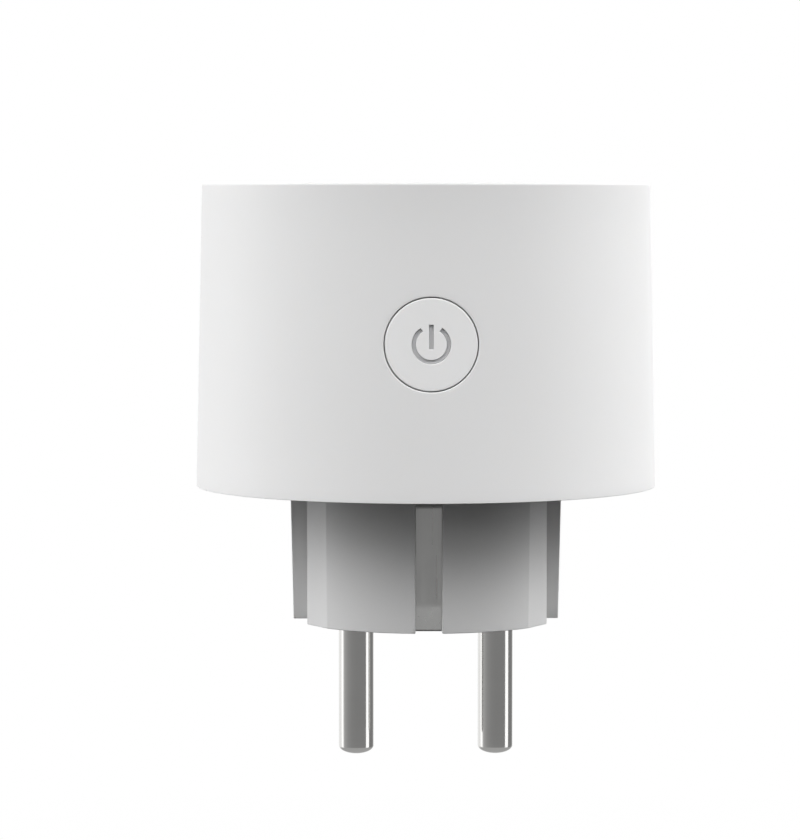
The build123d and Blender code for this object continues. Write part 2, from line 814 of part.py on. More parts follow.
with BuildPart() as x_capacitor:
    with BuildSketch(Plane.XY.offset(board_top_z + 0.5)):
        with Locations((-8.4, 17.6)):
            Rectangle(11.0, 5.4)
    extrude(amount=11.0)
    fillet(x_capacitor.edges().filter_by(Axis.Z), radius=0.7)
    add_leads([(-12.2, 17.6), (-4.6, 17.6)], board_top_z, board_top_z + 1)
save(x_capacitor, "x_capacitor")

with BuildPart() as varistor:
    with BuildSketch(front_plane(-19.4, 28.6, 8.2)):
        Circle(4.5)
    extrude(amount=3.8)
    fillet(varistor.edges(), radius=0.8)
    add_leads([(5.7, 17.5), (10.7, 17.5)], board_top_z, 26.6)
save(varistor, "varistor")

with BuildPart() as fuse_resistor:
    with BuildSketch(Plane(origin=(4.9, 11.0, 25.2), x_dir=(0, 1, 0), z_dir=(1, 0, 0))):
        Circle(1.7)
    extrude(amount=7.8)
    fillet(fuse_resistor.edges(), radius=0.5)
    add_leads([(5.8, 11.0), (11.8, 11.0)], board_top_z, 24.4)
save(fuse_resistor, "fuse_resistor")

inductor_place = (0, 9.2)
with BuildPart() as inductor_core:
    with BuildSketch(Plane.XY.offset(board_top_z)):
        with Locations(inductor_place):
            Circle(3.9)
    extrude(amount=1.2)
    with BuildSketch(Plane.XY.offset(board_top_z + 1.2)):
        with Locations(inductor_place):
            Circle(1.8)
    extrude(amount=6.4)
    with BuildSketch(Plane.XY.offset(board_top_z + 7.6)):
        with Locations(inductor_place):
            Circle(3.9)
    extrude(amount=1.2)
save(inductor_core, "inductor_core")

with BuildPart() as inductor_winding:
    with BuildSketch(Plane.XY.offset(board_top_z + 1.25)):
        with Locations(inductor_place):
            Circle(3.3)
            Circle(1.82, mode=Mode.SUBTRACT)
    extrude(amount=6.3)
save(inductor_winding, "inductor_winding")


def build_chip(x, y, length, width, height, legs):
    """Moulded chip body with rows of flat legs along both long sides."""
    pitch = length / legs
    with BuildPart() as chip:
        with Locations((x, y, board_top_z + 0.15 + height / 2)):
            Box(length, width, height)
        with Locations((x, y, board_top_z + 0.25)):
            with GridLocations(pitch, width + 0.8, legs, 2):
                Box(0.45, 1.2, 0.5)
    return chip


bridge_rectifier = build_chip(-10.6, -9.6, 6.0, 5.0, 2.4, 2)
save(bridge_rectifier, "bridge_rectifier")
power_controller = build_chip(-3.6, -10.6, 4.9, 3.9, 1.5, 4)
save(power_controller, "power_controller")
meter_chip = build_chip(4.4, -10.6, 4.9, 3.9, 1.5, 4)
save(meter_chip, "meter_chip")

with BuildPart() as shunt_resistor:
    with BuildSketch(front_plane(9.6, board_top_z, 11.0)):
        with BuildLine():
            Polyline(
                (-3.2, 0), (-1.8, 0), (-1.8, 1.2), (1.8, 1.2), (1.8, 0), (3.2, 0), (3.2, 0.6), (2.5, 0.6),
                (2.5, 1.9), (-2.5, 1.9), (-2.5, 0.6), (-3.2, 0.6), close=True,
            )
        make_face()
    extrude(amount=3.2)
save(shunt_resistor, "shunt_resistor")

# ---------------------------------------------------------------- control board and wireless module
with BuildPart() as control_board:
    with BuildSketch(front_plane(control_board_back, 36.0)):
        RectangleRounded(18.0, 27.2, 1.0)
    extrude(amount=control_board_front - control_board_back)
save(control_board, "control_board")

with BuildPart() as board_header:
    with Locations((0, -control_board_back + 1.25, board_top_z + 1.25)):
        Box(15.0, 2.4, 2.4)
    with Locations((0, -control_board_back + 3.0, board_top_z + 1.1)):
        with GridLocations(2.5, 1, 6, 1):
            Box(0.6, 1.2, 0.6)
save(board_header, "board_header")

with BuildPart() as wireless_module:
    with BuildSketch(front_plane(control_board_back - 0.8, 32.4)):
        Rectangle(15.0, 13.6)
    extrude(amount=0.78)
save(wireless_module, "wireless_module")

with BuildPart() as module_shield:
    with BuildSketch(front_plane(control_board_back - 2.8, 31.0)):
        RectangleRounded(13.0, 9.6, 0.6)
    extrude(amount=1.95)
    fillet(module_shield.faces().sort_by(Axis.Y)[-1].edges(), radius=0.3)
save(module_shield, "module_shield")

with BuildPart() as status_leds:
    with BuildSketch(front_plane(control_board_front)):
        with Locations((-4.0, 0), (4.0, 0)):
            Rectangle(0.8, 1.6)
    extrude(amount=0.8)
save(status_leds, "status_leds")

# ---------------------------------------------------------------- button
with BuildPart() as tact_switch:
    with BuildSketch(front_plane(control_board_front)):
        RectangleRounded(6.0, 6.0, 0.4)
    extrude(amount=switch_front - control_board_front)
    with BuildSketch(front_plane(switch_front)):
        Circle(plunger_radius + 0.06)
    extrude(amount=-1.5, mode=Mode.SUBTRACT)
save(tact_switch, "tact_switch")

with BuildPart() as tact_plunger:
    with BuildSketch(front_plane(plunger_back)):
        Circle(plunger_radius)
    extrude(amount=plunger_tip - plunger_back)
    fillet(tact_plunger.edges().sort_by(Axis.Y)[0], radius=0.25)
save(tact_plunger, "tact_plunger")

# Hollow cap whose face follows the body's taper, with a retaining flange and a pierced symbol
with BuildPart() as button_cap:
    with BuildSketch(Plane.XZ):
        with BuildLine():
            Polyline(
                (0, body_bottom_z), (body_bottom_radius, body_bottom_z), (body_top_radius, body_top_z),
                (0, body_top_z), close=True,
            )
        make_face()
    revolve(axis=Axis.Z)
    with BuildSketch(front_plane(button_back)):
        Circle(button_radius)
    extrude(amount=10, mode=Mode.INTERSECT)
    fillet(button_cap.faces().sort_by(Axis.Y)[0].edges(), radius=button_edge)
    with BuildSketch(front_plane(button_back)):
        Circle(button_flange_radius)
    extrude(amount=button_boss_back - 0.06 - button_back)
    with BuildSketch(front_plane(button_back)):
        Circle(cap_cavity_radius)
    extrude(amount=diffuser_front - button_back, mode=Mode.SUBTRACT)
    with BuildSketch(front_plane(button_back)):
        add(power_symbol())
    extrude(amount=10, mode=Mode.SUBTRACT)
save(button_cap, "button_cap")

# Translucent light guide: a disc behind the cap's face with the symbol standing in the opening
with BuildPart() as icon_diffuser:
    with BuildSketch(front_plane(diffuser_back)):
        Circle(guide_disc_radius)
    extrude(amount=diffuser_front - 0.02 - diffuser_back)
    with BuildSketch(front_plane(diffuser_front - 0.1)):
        add(power_symbol(clearance=0.02))
    extrude(amount=icon_front - diffuser_front + 0.1)
save(icon_diffuser, "icon_diffuser")
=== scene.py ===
"""Looks of the smart plug: moulded white housing, button, plug and socket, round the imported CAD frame."""

import json
from math import atan2, cos, hypot, pi, radians, sin, sqrt, tau

import bmesh
import bpy
import numpy as np
from mathutils import Matrix, Vector


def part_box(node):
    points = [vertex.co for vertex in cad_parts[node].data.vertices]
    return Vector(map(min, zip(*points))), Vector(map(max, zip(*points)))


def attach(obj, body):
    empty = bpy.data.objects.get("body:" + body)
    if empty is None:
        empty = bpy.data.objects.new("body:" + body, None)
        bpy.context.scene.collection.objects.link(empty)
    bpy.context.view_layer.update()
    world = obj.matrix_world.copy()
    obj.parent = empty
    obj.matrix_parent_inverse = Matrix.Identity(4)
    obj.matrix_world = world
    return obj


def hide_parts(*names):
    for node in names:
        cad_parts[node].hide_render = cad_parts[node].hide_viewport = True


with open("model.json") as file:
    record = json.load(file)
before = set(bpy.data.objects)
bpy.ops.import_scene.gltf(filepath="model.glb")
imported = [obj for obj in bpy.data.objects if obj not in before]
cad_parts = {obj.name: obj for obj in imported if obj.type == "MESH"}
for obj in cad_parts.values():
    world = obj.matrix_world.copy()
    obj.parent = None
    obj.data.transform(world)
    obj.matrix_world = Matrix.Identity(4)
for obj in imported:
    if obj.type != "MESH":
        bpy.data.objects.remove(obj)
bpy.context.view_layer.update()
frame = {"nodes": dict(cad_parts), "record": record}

MM = 0.001
SHARP_ANGLE = radians(32)
BEVEL_ANGLE = radians(40)
POLE = 1e-9

# ------------------------------------------------------------------ sizes read from the frame
SHELL_LOW, SHELL_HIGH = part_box("outer_shell")
CAP_LOW, CAP_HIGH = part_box("button_cap")
PIN_END_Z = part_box("live_pin")[0].z
BODY_BOTTOM = SHELL_LOW.z
BODY_TOP = SHELL_HIGH.z
FACET_SAG = 0.006 * MM
BODY_RADIUS = SHELL_HIGH.x + FACET_SAG
BUTTON_X = (CAP_LOW.x + CAP_HIGH.x) / 2
BUTTON_Z = (CAP_LOW.z + CAP_HIGH.z) / 2
mounts = {m["name"]: m for m in frame["record"]["mounts"]}
PIN_RADIUS = mounts["pin_left"]["dims"]["r_mm"] * MM
PIN_X = mounts["pin_right"]["pos_m"][0]
EARTH_Y = mounts["earth_pin_hole"]["pos_m"][1]
EARTH_RADIUS = mounts["earth_pin_hole"]["dims"]["r_mm"] * MM

# ------------------------------------------------------------------ sizes of the visible details
BODY_TOP_RADIUS = 30.3 * MM
WALL = 2.0 * MM
TOP_THICKNESS = 2.2 * MM
TOP_EDGE = 0.4 * MM
BOTTOM_EDGE = 0.07 * MM
MOUTH_RADIUS = 21.15 * MM
HOLE_RADIUS = 6.1 * MM
CAP_RADIUS = 5.95 * MM
CAP_FLANGE = 7.2 * MM
CAP_BACK = -26.6 * MM
CAP_FACE_BACK = -29.4 * MM
SYMBOL_RADIUS = 2.52 * MM
SYMBOL_STROKE = 0.55 * MM
SYMBOL_GAP = radians(33)
BAR_WIDTH = 0.58 * MM
BAR_FOOT = -0.6 * MM
SYMBOL_DEPTH = 0.34 * MM

PLUG_FACE_RADIUS = 18.06 * MM
PLUG_TOP_RADIUS = 18.46 * MM
FLAT_X = 16.1 * MM
FACET_X, FACET_Y = 13.4 * MM, 12.1 * MM
FACET_END_Y = 7.4 * MM
FIN_HALF = 0.7 * MM
SLOT_HALF = 1.75 * MM
SLOT_FLOOR = 16.78 * MM
SLOT_FOOT = 15.2 * MM
SLOT_KNEE_Z = 4.2 * MM
COVER_RADIUS = 29.1 * MM
COVER_TOP = 20.3 * MM
SCREW_RECESS = 2.9 * MM
SCREW_DEPTH = 2.2 * MM


def body_radius(z):
    """Outer radius of the tapered body at height z."""
    share = (z - BODY_BOTTOM) / (BODY_TOP - BODY_BOTTOM)
    return BODY_RADIUS + share * (BODY_TOP_RADIUS - BODY_RADIUS)


# ------------------------------------------------------------------ mesh helpers
def finish_piece(bm, name, material, body, replaces=()):
    """Turn a bmesh into a smooth-shaded piece that rides on a body."""
    bmesh.ops.delete(bm, geom=[v for v in bm.verts if not v.link_faces], context="VERTS")
    bmesh.ops.recalc_face_normals(bm, faces=bm.faces)
    mesh = bpy.data.meshes.new(name)
    bm.to_mesh(mesh)
    bm.free()
    return place_mesh(mesh, name, material, body, replaces)


def place_mesh(mesh, name, material, body, replaces=()):
    """Link a mesh as a piece, shade it smooth up to the sharp angle and tie it to its body."""
    mesh.shade_smooth()
    mesh.set_sharp_from_angle(angle=SHARP_ANGLE)
    piece = bpy.data.objects.new(name, mesh)
    bpy.context.scene.collection.objects.link(piece)
    mesh.materials.append(material)
    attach(piece, body)
    if replaces:
        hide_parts(*replaces)
    return piece


def boolean(target, cutter, operation):
    """Target bmesh combined with a cutter bmesh by an exact boolean; both are used up."""
    meshes = []
    for bm in (target, cutter):
        bmesh.ops.recalc_face_normals(bm, faces=bm.faces)
        mesh = bpy.data.meshes.new("boolean_part")
        bm.to_mesh(mesh)
        bm.free()
        meshes.append(mesh)
    objects = [bpy.data.objects.new("boolean_part", mesh) for mesh in meshes]
    for each in objects:
        bpy.context.scene.collection.objects.link(each)
    modifier = objects[0].modifiers.new("cut", "BOOLEAN")
    modifier.operation = operation
    modifier.solver = "EXACT"
    modifier.object = objects[1]
    bpy.context.view_layer.update()
    graph = bpy.context.evaluated_depsgraph_get()
    result = bmesh.new()
    result.from_mesh(objects[0].evaluated_get(graph).to_mesh())
    for each in objects:
        bpy.data.objects.remove(each)
    for mesh in meshes:
        bpy.data.meshes.remove(mesh)
    return result


def arc(centre, radius, start, stop, steps):
    """Points of a circular arc in a plane, both ends included; angles in degrees."""
    return [
        (centre[0] + radius * cos(radians(a)), centre[1] + radius * sin(radians(a)))
        for a in np.linspace(start, stop, steps + 1)
    ]


def join_rings(bm, first, second, closed=True):
    """Quads between two rings with the same number of vertices."""
    count = len(first)
    for k in range(count if closed else count - 1):
        n = (k + 1) % count
        corners = [first[k], first[n], second[n], second[k]]
        unique = list(dict.fromkeys(corners))
        if len(unique) > 2:
            bm.faces.new(unique)


def lathe(bm, profile, segments, centre=(0.0, 0.0), closed=True):
    """Revolve (radius, z) points about an upright axis; a radius of zero makes a pole."""
    rings = []
    for radius, z in profile:
        if radius < POLE:
            rings.append([bm.verts.new((centre[0], centre[1], z))] * segments)
            continue
        turns = [tau * k / segments for k in range(segments)]
        rings.append([
            bm.verts.new((centre[0] + radius * cos(a), centre[1] + radius * sin(a), z)) for a in turns
        ])
    for first, second in zip(rings, rings[1:]):
        join_rings(bm, first, second)
    if closed:
        join_rings(bm, rings[-1], rings[0])
    return rings


def fill_between(bm, loops):
    """Flat face with holes, from closed loops of vertices in one plane."""
    edges = []
    for loop in loops:
        for first, second in zip(loop, loop[1:] + loop[:1]):
            edges.append(bm.edges.get((first, second)) or bm.edges.new((first, second)))
    bmesh.ops.triangle_fill(bm, use_beauty=True, use_dissolve=False, edges=edges)


# ------------------------------------------------------------------ materials
def new_material(name):
    """Empty node material with its node tree, Principled shader and object coordinates."""
    material = bpy.data.materials.new(name)
    material.use_nodes = True
    tree = material.node_tree
    shader = tree.nodes["Principled BSDF"]
    coordinates = tree.nodes.new("ShaderNodeTexCoord")
    return material, tree, shader, coordinates.outputs["Object"]


def noise(tree, vector, scale, detail=3.0, stretch=None):
    """Noise factor in object space, stretched along the axes if asked."""
    if stretch:
        mapping = tree.nodes.new("ShaderNodeMapping")
        mapping.inputs["Scale"].default_value = stretch
        tree.links.new(vector, mapping.inputs["Vector"])
        vector = mapping.outputs["Vector"]
    node = tree.nodes.new("ShaderNodeTexNoise")
    node.inputs["Scale"].default_value = scale
    node.inputs["Detail"].default_value = detail
    tree.links.new(vector, node.inputs["Vector"])
    return node.outputs["Fac"]


def spread(tree, factor, low, high, start=0.3, stop=0.7):
    """Map a factor onto a range."""
    node = tree.nodes.new("ShaderNodeMapRange")
    node.inputs["From Min"].default_value = start
    node.inputs["From Max"].default_value = stop
    node.inputs["To Min"].default_value = low
    node.inputs["To Max"].default_value = high
    tree.links.new(factor, node.inputs["Value"])
    return node.outputs["Result"]


def mix_colours(tree, factor, first, second):
    """Colour that runs from the first to the second with the factor."""
    node = tree.nodes.new("ShaderNodeMix")
    node.data_type = "RGBA"
    node.inputs["A"].default_value = (*first, 1)
    node.inputs["B"].default_value = (*second, 1)
    tree.links.new(factor, node.inputs["Factor"])
    return node.outputs["Result"]


def add_bump(tree, shader, heights):
    """Chain of bumps from (factor, strength, distance) entries."""
    normal = None
    for factor, strength, distance in heights:
        bump = tree.nodes.new("ShaderNodeBump")
        bump.inputs["Strength"].default_value = strength
        bump.inputs["Distance"].default_value = distance
        tree.links.new(factor, bump.inputs["Height"])
        if normal:
            tree.links.new(normal, bump.inputs["Normal"])
        normal = bump.outputs["Normal"]
    tree.links.new(normal, shader.inputs["Normal"])


def moulded_plastic(name, colour, roughness=0.42, grain=0.25, tone=0.985, glow=0.0, specular=0.5):
    """Injection-moulded plastic: faint cloudy tone, fine spark-eroded grain, uneven gloss."""
    material, tree, shader, place = new_material(name)
    clouds = noise(tree, place, 45.0, 2.0)
    specks = noise(tree, place, 900.0, 4.0)
    shade = mix_colours(tree, spread(tree, clouds, 0.0, 1.0), [c * tone for c in colour], colour)
    tree.links.new(shade, shader.inputs["Base Color"])
    tree.links.new(spread(tree, specks, roughness - 0.05, roughness + 0.06), shader.inputs["Roughness"])
    fine = noise(tree, place, 5200.0, 2.0)
    flow = noise(tree, place, 260.0, 2.0)
    add_bump(tree, shader, [(fine, grain, 0.012 * MM), (flow, 0.12, 0.01 * MM)])
    shader.inputs["Specular IOR Level"].default_value = specular
    shader.inputs["IOR"].default_value = 1.5
    if glow:
        shader.inputs["Subsurface Weight"].default_value = glow
        shader.inputs["Subsurface Radius"].default_value = (1.0, 0.9, 0.8)
        shader.inputs["Subsurface Scale"].default_value = 0.8 * MM
    return material


def worked_metal(name, colour, roughness, stretch, scratch=0.2, tarnish=0.85):
    """Drawn, turned or stamped metal: fine lines along one way, patchy shine and faint tarnish."""
    material, tree, shader, place = new_material(name)
    clouds = noise(tree, place, 180.0, 3.0)
    lines = noise(tree, place, 3000.0, 4.0, stretch)
    patches = spread(tree, clouds, 0.0, 1.0, 0.35, 0.75)
    shade = mix_colours(tree, patches, [c * tarnish for c in colour], colour)
    tree.links.new(shade, shader.inputs["Base Color"])
    tree.links.new(spread(tree, lines, roughness * 0.7, roughness * 1.4), shader.inputs["Roughness"])
    add_bump(tree, shader, [(lines, scratch, 0.004 * MM)])
    shader.inputs["Metallic"].default_value = 1.0
    return material


def circuit_board(name, mask, copper):
    """Solder mask over faint copper tracks."""
    material, tree, shader, place = new_material(name)
    cells = tree.nodes.new("ShaderNodeTexBrick")
    cells.inputs["Scale"].default_value = 260.0
    cells.inputs["Mortar Size"].default_value = 0.03
    cells.inputs["Color1"].default_value = (*mask, 1)
    cells.inputs["Color2"].default_value = (*[m * 0.8 for m in mask], 1)
    cells.inputs["Mortar"].default_value = (*copper, 1)
    tree.links.new(place, cells.inputs["Vector"])
    tree.links.new(cells.outputs["Color"], shader.inputs["Base Color"])
    tree.links.new(spread(tree, noise(tree, place, 700.0), 0.25, 0.4), shader.inputs["Roughness"])
    add_bump(tree, shader, [(cells.outputs["Fac"], 0.3, 0.02 * MM)])
    return material


def wound_wire(name, colour):
    """Enamelled copper wound in close turns."""
    material, tree, shader, place = new_material(name)
    turns = tree.nodes.new("ShaderNodeTexWave")
    turns.bands_direction = "Z"
    turns.inputs["Scale"].default_value = 900.0
    turns.inputs["Distortion"].default_value = 0.4
    tree.links.new(place, turns.inputs["Vector"])
    shade = mix_colours(tree, turns.outputs["Fac"], [c * 0.5 for c in colour], colour)
    tree.links.new(shade, shader.inputs["Base Color"])
    tree.links.new(spread(tree, noise(tree, place, 500.0), 0.25, 0.4), shader.inputs["Roughness"])
    add_bump(tree, shader, [(turns.outputs["Fac"], 0.8, 0.1 * MM)])
    shader.inputs["Metallic"].default_value = 0.8
    return material


LENGTHWISE = (1.0, 1.0, 0.02)
TURNED = (0.02, 0.02, 1.0)
NICKEL = (0.74, 0.735, 0.72)
finishes = {
    "white_shell": moulded_plastic("shell_plastic", (0.89, 0.89, 0.89), 0.44, 0.22, glow=0.06),
    "white_insert": moulded_plastic("insert_plastic", (0.80, 0.80, 0.80), 0.46, 0.25, glow=0.06),
    "white_base": moulded_plastic("base_plastic", (0.77, 0.77, 0.77), 0.5, 0.5, glow=0.05),
    "white_button": moulded_plastic("button_plastic", (0.96, 0.96, 0.96), 0.4, 0.2, glow=0.06),
    "icon_grey": moulded_plastic("symbol_plastic", (0.66, 0.66, 0.67), 0.35, 0.12, glow=0.3),
    "nickel_pin": worked_metal("pin_nickel", NICKEL, 0.11, TURNED, 0.1, 0.96),
    "nickel_strap": worked_metal("strap_nickel", (0.66, 0.66, 0.65), 0.34, LENGTHWISE, 0.25, 0.93),
    "screw_steel": worked_metal("screw_zinc", (0.62, 0.63, 0.65), 0.3, TURNED, 0.2),
    "spring_steel": worked_metal("spring_strip", (0.66, 0.66, 0.65), 0.25, LENGTHWISE, 0.2, 0.92),
    "brass": worked_metal("stamped_brass", (0.80, 0.60, 0.28), 0.28, LENGTHWISE, 0.2, 0.8),
    "black_plastic": moulded_plastic("black_plastic", (0.03, 0.03, 0.03), 0.5, 0.3, 0.8),
    "relay_black": moulded_plastic("relay_plastic", (0.02, 0.02, 0.024), 0.3, 0.15, 0.8),
    "shutter_plastic": moulded_plastic("shutter_plastic", (0.62, 0.62, 0.61), 0.45, 0.3),
    "white_carrier": moulded_plastic("carrier_plastic", (0.70, 0.70, 0.67), 0.5, 0.3),
    "insulation_film": moulded_plastic("insulation_film", (0.66, 0.58, 0.36), 0.25, 0.1, 0.9),
    "capacitor_sleeve": moulded_plastic("capacitor_sleeve", (0.03, 0.035, 0.06), 0.28, 0.1, 0.8),
    "capacitor_yellow": moulded_plastic("film_capacitor_box", (0.70, 0.48, 0.04), 0.42, 0.25, 0.92),
    "varistor_blue": moulded_plastic("varistor_epoxy", (0.02, 0.10, 0.42), 0.38, 0.4, 0.85),
    "resistor_green": moulded_plastic("resistor_cement", (0.12, 0.30, 0.20), 0.6, 0.6, 0.85),
    "ferrite": moulded_plastic("ferrite", (0.04, 0.04, 0.042), 0.65, 0.6, 0.75),
    "chip_black": moulded_plastic("chip_epoxy", (0.025, 0.025, 0.025), 0.55, 0.5, 0.8),
    "led_white": moulded_plastic("led_epoxy", (0.80, 0.78, 0.55), 0.2, 0.1, 0.95),
    "board_green": circuit_board("board_green", (0.01, 0.11, 0.035), (0.02, 0.20, 0.06)),
    "board_blue": circuit_board("board_blue", (0.008, 0.03, 0.13), (0.02, 0.06, 0.25)),
    "copper_coil": wound_wire("copper_winding", (0.72, 0.30, 0.12)),
}
for entry in frame["record"]["subparts"]:
    node = frame["nodes"][entry["node"]]
    node.data.materials.clear()
    node.data.materials.append(finishes[entry["material_slot"]])


# ------------------------------------------------------------------ outer shell
COLUMNS = 288
PATCH_COLUMNS = 16
PATCH_HALF_HEIGHT = 10.2 * MM
PATCH_ROWS = 28
PATCH_RINGS = 14
HOLE_EDGE = 0.09 * MM
BOSS_CIRCLE = 24.9 * MM
BOSS_RADIUS = 3.0 * MM
BOSS_PILOT = 1.3 * MM
BOSS_FOOT = 22.3 * MM
ROW_BELOW_CEILING = 0.5 * MM
BOSS_PLACES = [
    (BOSS_CIRCLE * cos(radians(a)), BOSS_CIRCLE * sin(radians(a))) for a in (45, 135, 225, 315)
]


def wall_depth(x, z, inset=0.0):
    """Y of the front wall at (x, z), a distance inside the outer surface."""
    return -sqrt((body_radius(z) - inset) ** 2 - x * x)


def close_round_hole(bm, surface, rows, inset, hole_radius):
    """Fill the front patch of a wall with rings that close in on a round hole; returns its rim."""
    span = range(-PATCH_COLUMNS, PATCH_COLUMNS + 1)
    outline = [surface[rows[0]][j] for j in span]
    outline += [surface[i][PATCH_COLUMNS] for i in rows[1:-1]]
    outline += [surface[rows[-1]][j] for j in reversed(span)]
    outline += [surface[i][-PATCH_COLUMNS] for i in reversed(rows[1:-1])]
    ring = outline
    for share in np.linspace(0, 1, PATCH_RINGS + 1)[1:]:
        fresh = []
        for vertex in outline:
            away = Vector((vertex.co.x - BUTTON_X, vertex.co.z - BUTTON_Z))
            spot = away.lerp(away.normalized() * hole_radius, share)
            x, z = BUTTON_X + spot.x, BUTTON_Z + spot.y
            fresh.append(bm.verts.new((x, wall_depth(x, z, inset), z)))
        join_rings(bm, ring, fresh)
        ring = fresh
    return ring


def round_over(bm, rim, radius, edge):
    """Rounded edge from a hole's rim into the hole; returns the last ring."""
    ring = rim
    for turn in np.linspace(0, pi / 2, 6)[1:]:
        fresh = []
        for vertex in rim:
            away = Vector((vertex.co.x - BUTTON_X, vertex.co.z - BUTTON_Z)).normalized()
            reach = radius + edge * (1 - sin(turn))
            x, z = BUTTON_X + away.x * reach, BUTTON_Z + away.y * reach
            fresh.append(bm.verts.new((x, wall_depth(x, z) + edge * (1 - cos(turn)), z)))
        join_rings(bm, ring, fresh)
        ring = fresh
    return ring


def build_shell():
    """Tapered cup with rounded rims, a round mouth on top, the button hole and screw bosses."""
    bm = bmesh.new()
    patch_low, patch_high = BUTTON_Z - PATCH_HALF_HEIGHT, BUTTON_Z + PATCH_HALF_HEIGHT
    ceiling = BODY_TOP - TOP_THICKNESS
    top = BODY_TOP_RADIUS - TOP_EDGE
    foot = BODY_RADIUS - BOTTOM_EDGE
    below = list(np.linspace(BODY_BOTTOM + BOTTOM_EDGE, patch_low, 9)[:-1])
    beside = list(np.linspace(patch_low, patch_high, PATCH_ROWS + 1))
    above = list(np.linspace(patch_high, ceiling - ROW_BELOW_CEILING, 7)[1:])
    heights = below + beside + above
    patch_rows = list(range(len(below), len(below) + len(beside)))
    outside = [(body_radius(z), z) for z in heights]
    inside = [(body_radius(z) - WALL, z) for z in reversed(heights)]
    crown = arc((top, BODY_TOP - TOP_EDGE), TOP_EDGE, 0, 90, 7)
    crown += [(radius, BODY_TOP) for radius in np.linspace(top, MOUTH_RADIUS + TOP_EDGE, 6)[1:-1]]
    crown += arc((MOUTH_RADIUS + TOP_EDGE, BODY_TOP - TOP_EDGE), TOP_EDGE, 90, 180, 6)
    crown += [(MOUTH_RADIUS, ceiling), (BODY_TOP_RADIUS - WALL, ceiling)]
    sole = [(BODY_RADIUS - WALL, BODY_BOTTOM), ((foot + BODY_RADIUS - WALL) / 2, BODY_BOTTOM)]
    sole += arc((foot, BODY_BOTTOM + BOTTOM_EDGE), BOTTOM_EDGE, 270, 360, 6)[:-1]
    profile = outside + crown + inside + sole
    rings = []
    for radius, z in profile:
        angles = [tau * column / COLUMNS for column in range(COLUMNS)]
        rings.append([bm.verts.new((radius * sin(a), -radius * cos(a), z)) for a in angles])
    inner_start = len(outside) + len(crown)
    last = len(heights) - 1
    holed = {(i, i + 1) for i in patch_rows[:-1]}
    holed |= {(inner_start + last - i - 1, inner_start + last - i) for i in patch_rows[:-1]}
    for i in range(len(rings)):
        following = (i + 1) % len(rings)
        for column in range(COLUMNS):
            signed = (column + COLUMNS // 2) % COLUMNS - COLUMNS // 2
            if (i, following) in holed and -PATCH_COLUMNS <= signed < PATCH_COLUMNS:
                continue
            turn = (column + 1) % COLUMNS
            bm.faces.new((rings[i][column], rings[i][turn], rings[following][turn], rings[following][column]))
    inner = rings[inner_start:inner_start + len(inside)][::-1]
    rim = close_round_hole(bm, rings[:len(outside)], patch_rows, 0.0, HOLE_RADIUS + HOLE_EDGE)
    back = close_round_hole(bm, inner, patch_rows, WALL, HOLE_RADIUS)
    join_rings(bm, round_over(bm, rim, HOLE_RADIUS, HOLE_EDGE), back)
    boss = [(BOSS_RADIUS, BOSS_FOOT), (BOSS_RADIUS, ceiling), (BOSS_PILOT, ceiling), (BOSS_PILOT, BOSS_FOOT)]
    for place in BOSS_PLACES:
        lathe(bm, boss, 40, place)
    return finish_piece(bm, "shell", finishes["white_shell"], "housing", ["outer_shell"])


# ------------------------------------------------------------------ button
CAP_SEGMENTS = 144
CAP_EDGE = 0.08 * MM
CAP_SHOULDER = -27.34 * MM
CAP_CAVITY = 4.9 * MM
GUIDE_RADIUS = 4.85 * MM
GUIDE_BACK = -28.4 * MM
GUIDE_FRONT = -29.38 * MM
SYMBOL_CHAMFER = 0.05 * MM
SYMBOL_CUT_START = 0.5 * MM
SYMBOL_GAP_SIDE = 0.02 * MM
SYMBOL_ROUND = 0.05 * MM
SYMBOL_ROOT = 0.1 * MM


def button_point(reach, angle, depth=None, sink=0.0):
    """Point round the button's centre, on the wall's surface unless a depth is given."""
    x, z = BUTTON_X + reach * sin(angle), BUTTON_Z + reach * cos(angle)
    return x, (wall_depth(x, z) + sink) if depth is None else depth, z


def button_rings(bm, levels):
    """Closed lathe round the button's axis through (reach, depth, sink) levels."""
    rings = []
    for reach, depth, sink in levels:
        if reach < POLE:
            rings.append([bm.verts.new(button_point(0, 0, depth, sink))] * CAP_SEGMENTS)
            continue
        turns = [tau * k / CAP_SEGMENTS for k in range(CAP_SEGMENTS)]
        rings.append([bm.verts.new(button_point(reach, a, depth, sink)) for a in turns])
    for first, second in zip(rings, rings[1:]):
        join_rings(bm, first, second)


def symbol_outlines(grow):
    """Broken ring and upright bar of the power symbol, grown by an amount."""
    ring = []
    for radius, way in ((SYMBOL_RADIUS + grow, 1), (SYMBOL_RADIUS - SYMBOL_STROKE - grow, -1)):
        start = SYMBOL_GAP - grow / radius
        ring += [(radius * sin(a), radius * cos(a)) for a in np.linspace(start, tau - start, 81)[::way]]
    half, foot, top = BAR_WIDTH / 2 + grow, BAR_FOOT - grow, SYMBOL_RADIUS + grow
    heights = np.linspace(foot, top, 9)
    bar = [(half, z) for z in heights] + [(-half, z) for z in reversed(heights)]
    return ring, bar


def add_symbol(bm, levels):
    """Closed prisms in the symbol's outline through (grow, depth, sink) levels."""
    for shape in range(2):
        rings = []
        for grow, depth, sink in levels:
            outline = symbol_outlines(grow)[shape]
            rings.append([
                bm.verts.new(button_point(hypot(x, z), atan2(x, z), depth, sink)) for x, z in outline
            ])
        for first, second in zip(rings, rings[1:]):
            join_rings(bm, first, second)
        ends = [bm.faces.new(rings[0]), bm.faces.new(rings[-1])]
        bmesh.ops.triangulate(bm, faces=ends, ngon_method="EAR_CLIP")


